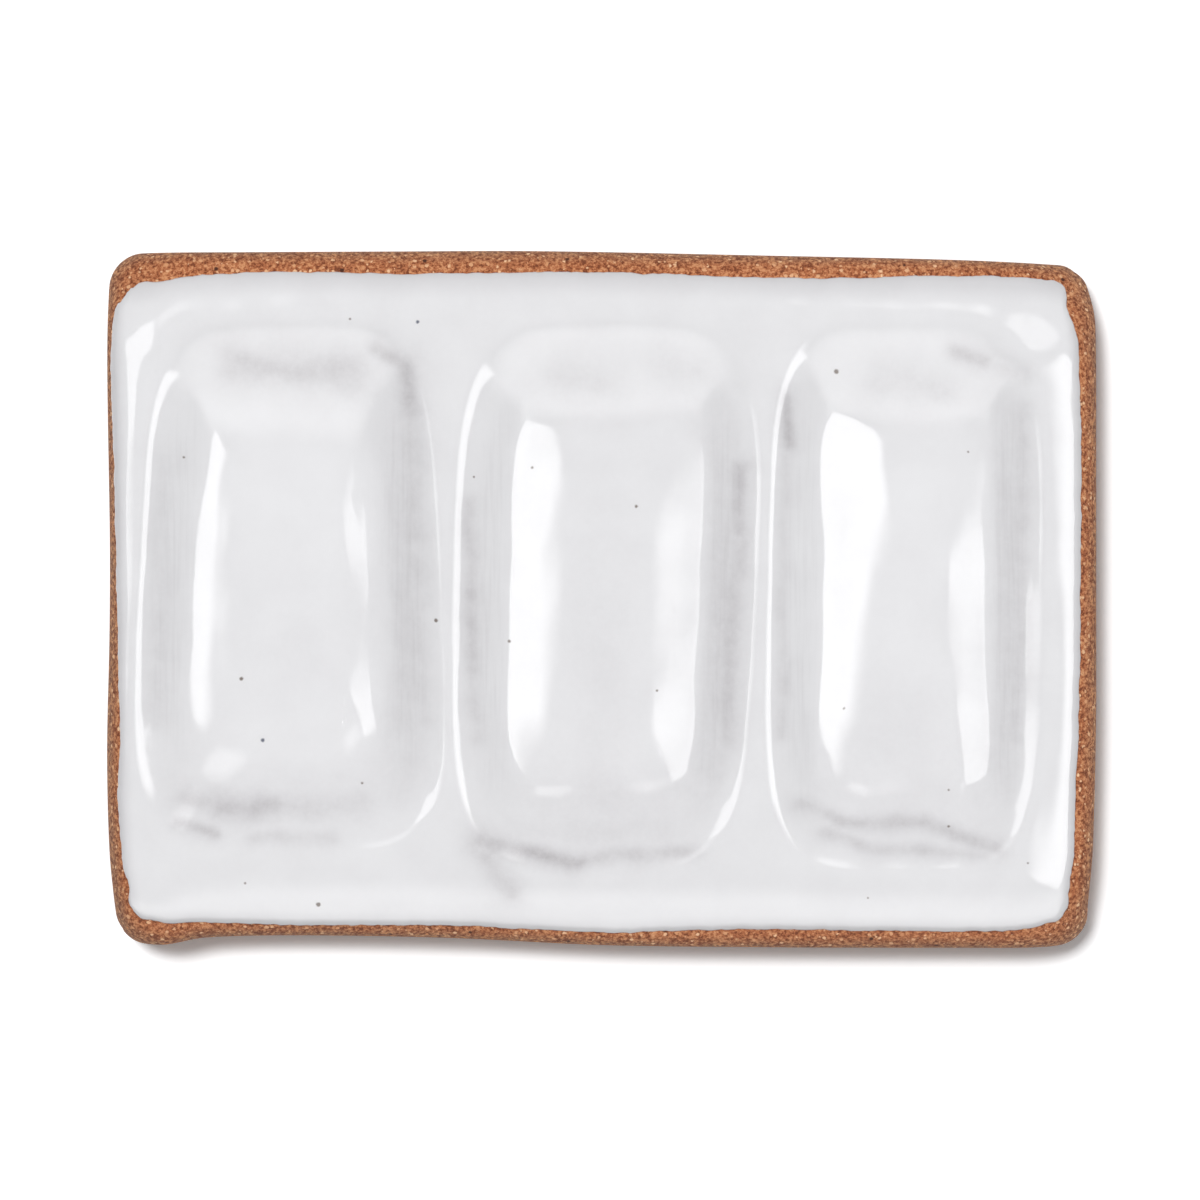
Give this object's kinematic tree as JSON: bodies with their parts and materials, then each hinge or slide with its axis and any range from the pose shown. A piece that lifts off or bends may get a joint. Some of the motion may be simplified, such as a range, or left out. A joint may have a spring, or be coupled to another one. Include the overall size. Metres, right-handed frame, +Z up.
{
  "type": "ceramic paint palette",
  "caption": "Rectangular handmade clay slab with a row of finger-pressed paint wells, its top under white gloss glaze that stops short of the bare edge.",
  "frame": {"origin": "middle of the bare base, on the surface that the palette rests on", "axes": "+X along the row of wells towards the well with the wider margin beside it, +Y across the row towards the palette's back edge, +Z up out of the wells"},
  "size_m": [0.1, 0.0705, 0.012],
  "materials": {
    "terracotta": "matte",
    "white_glaze": "gloss"
  },
  "bodies": {
    "root": {"clay_body": "terracotta", "glaze_coat": "white_glaze"}
  },
  "joints": []
}
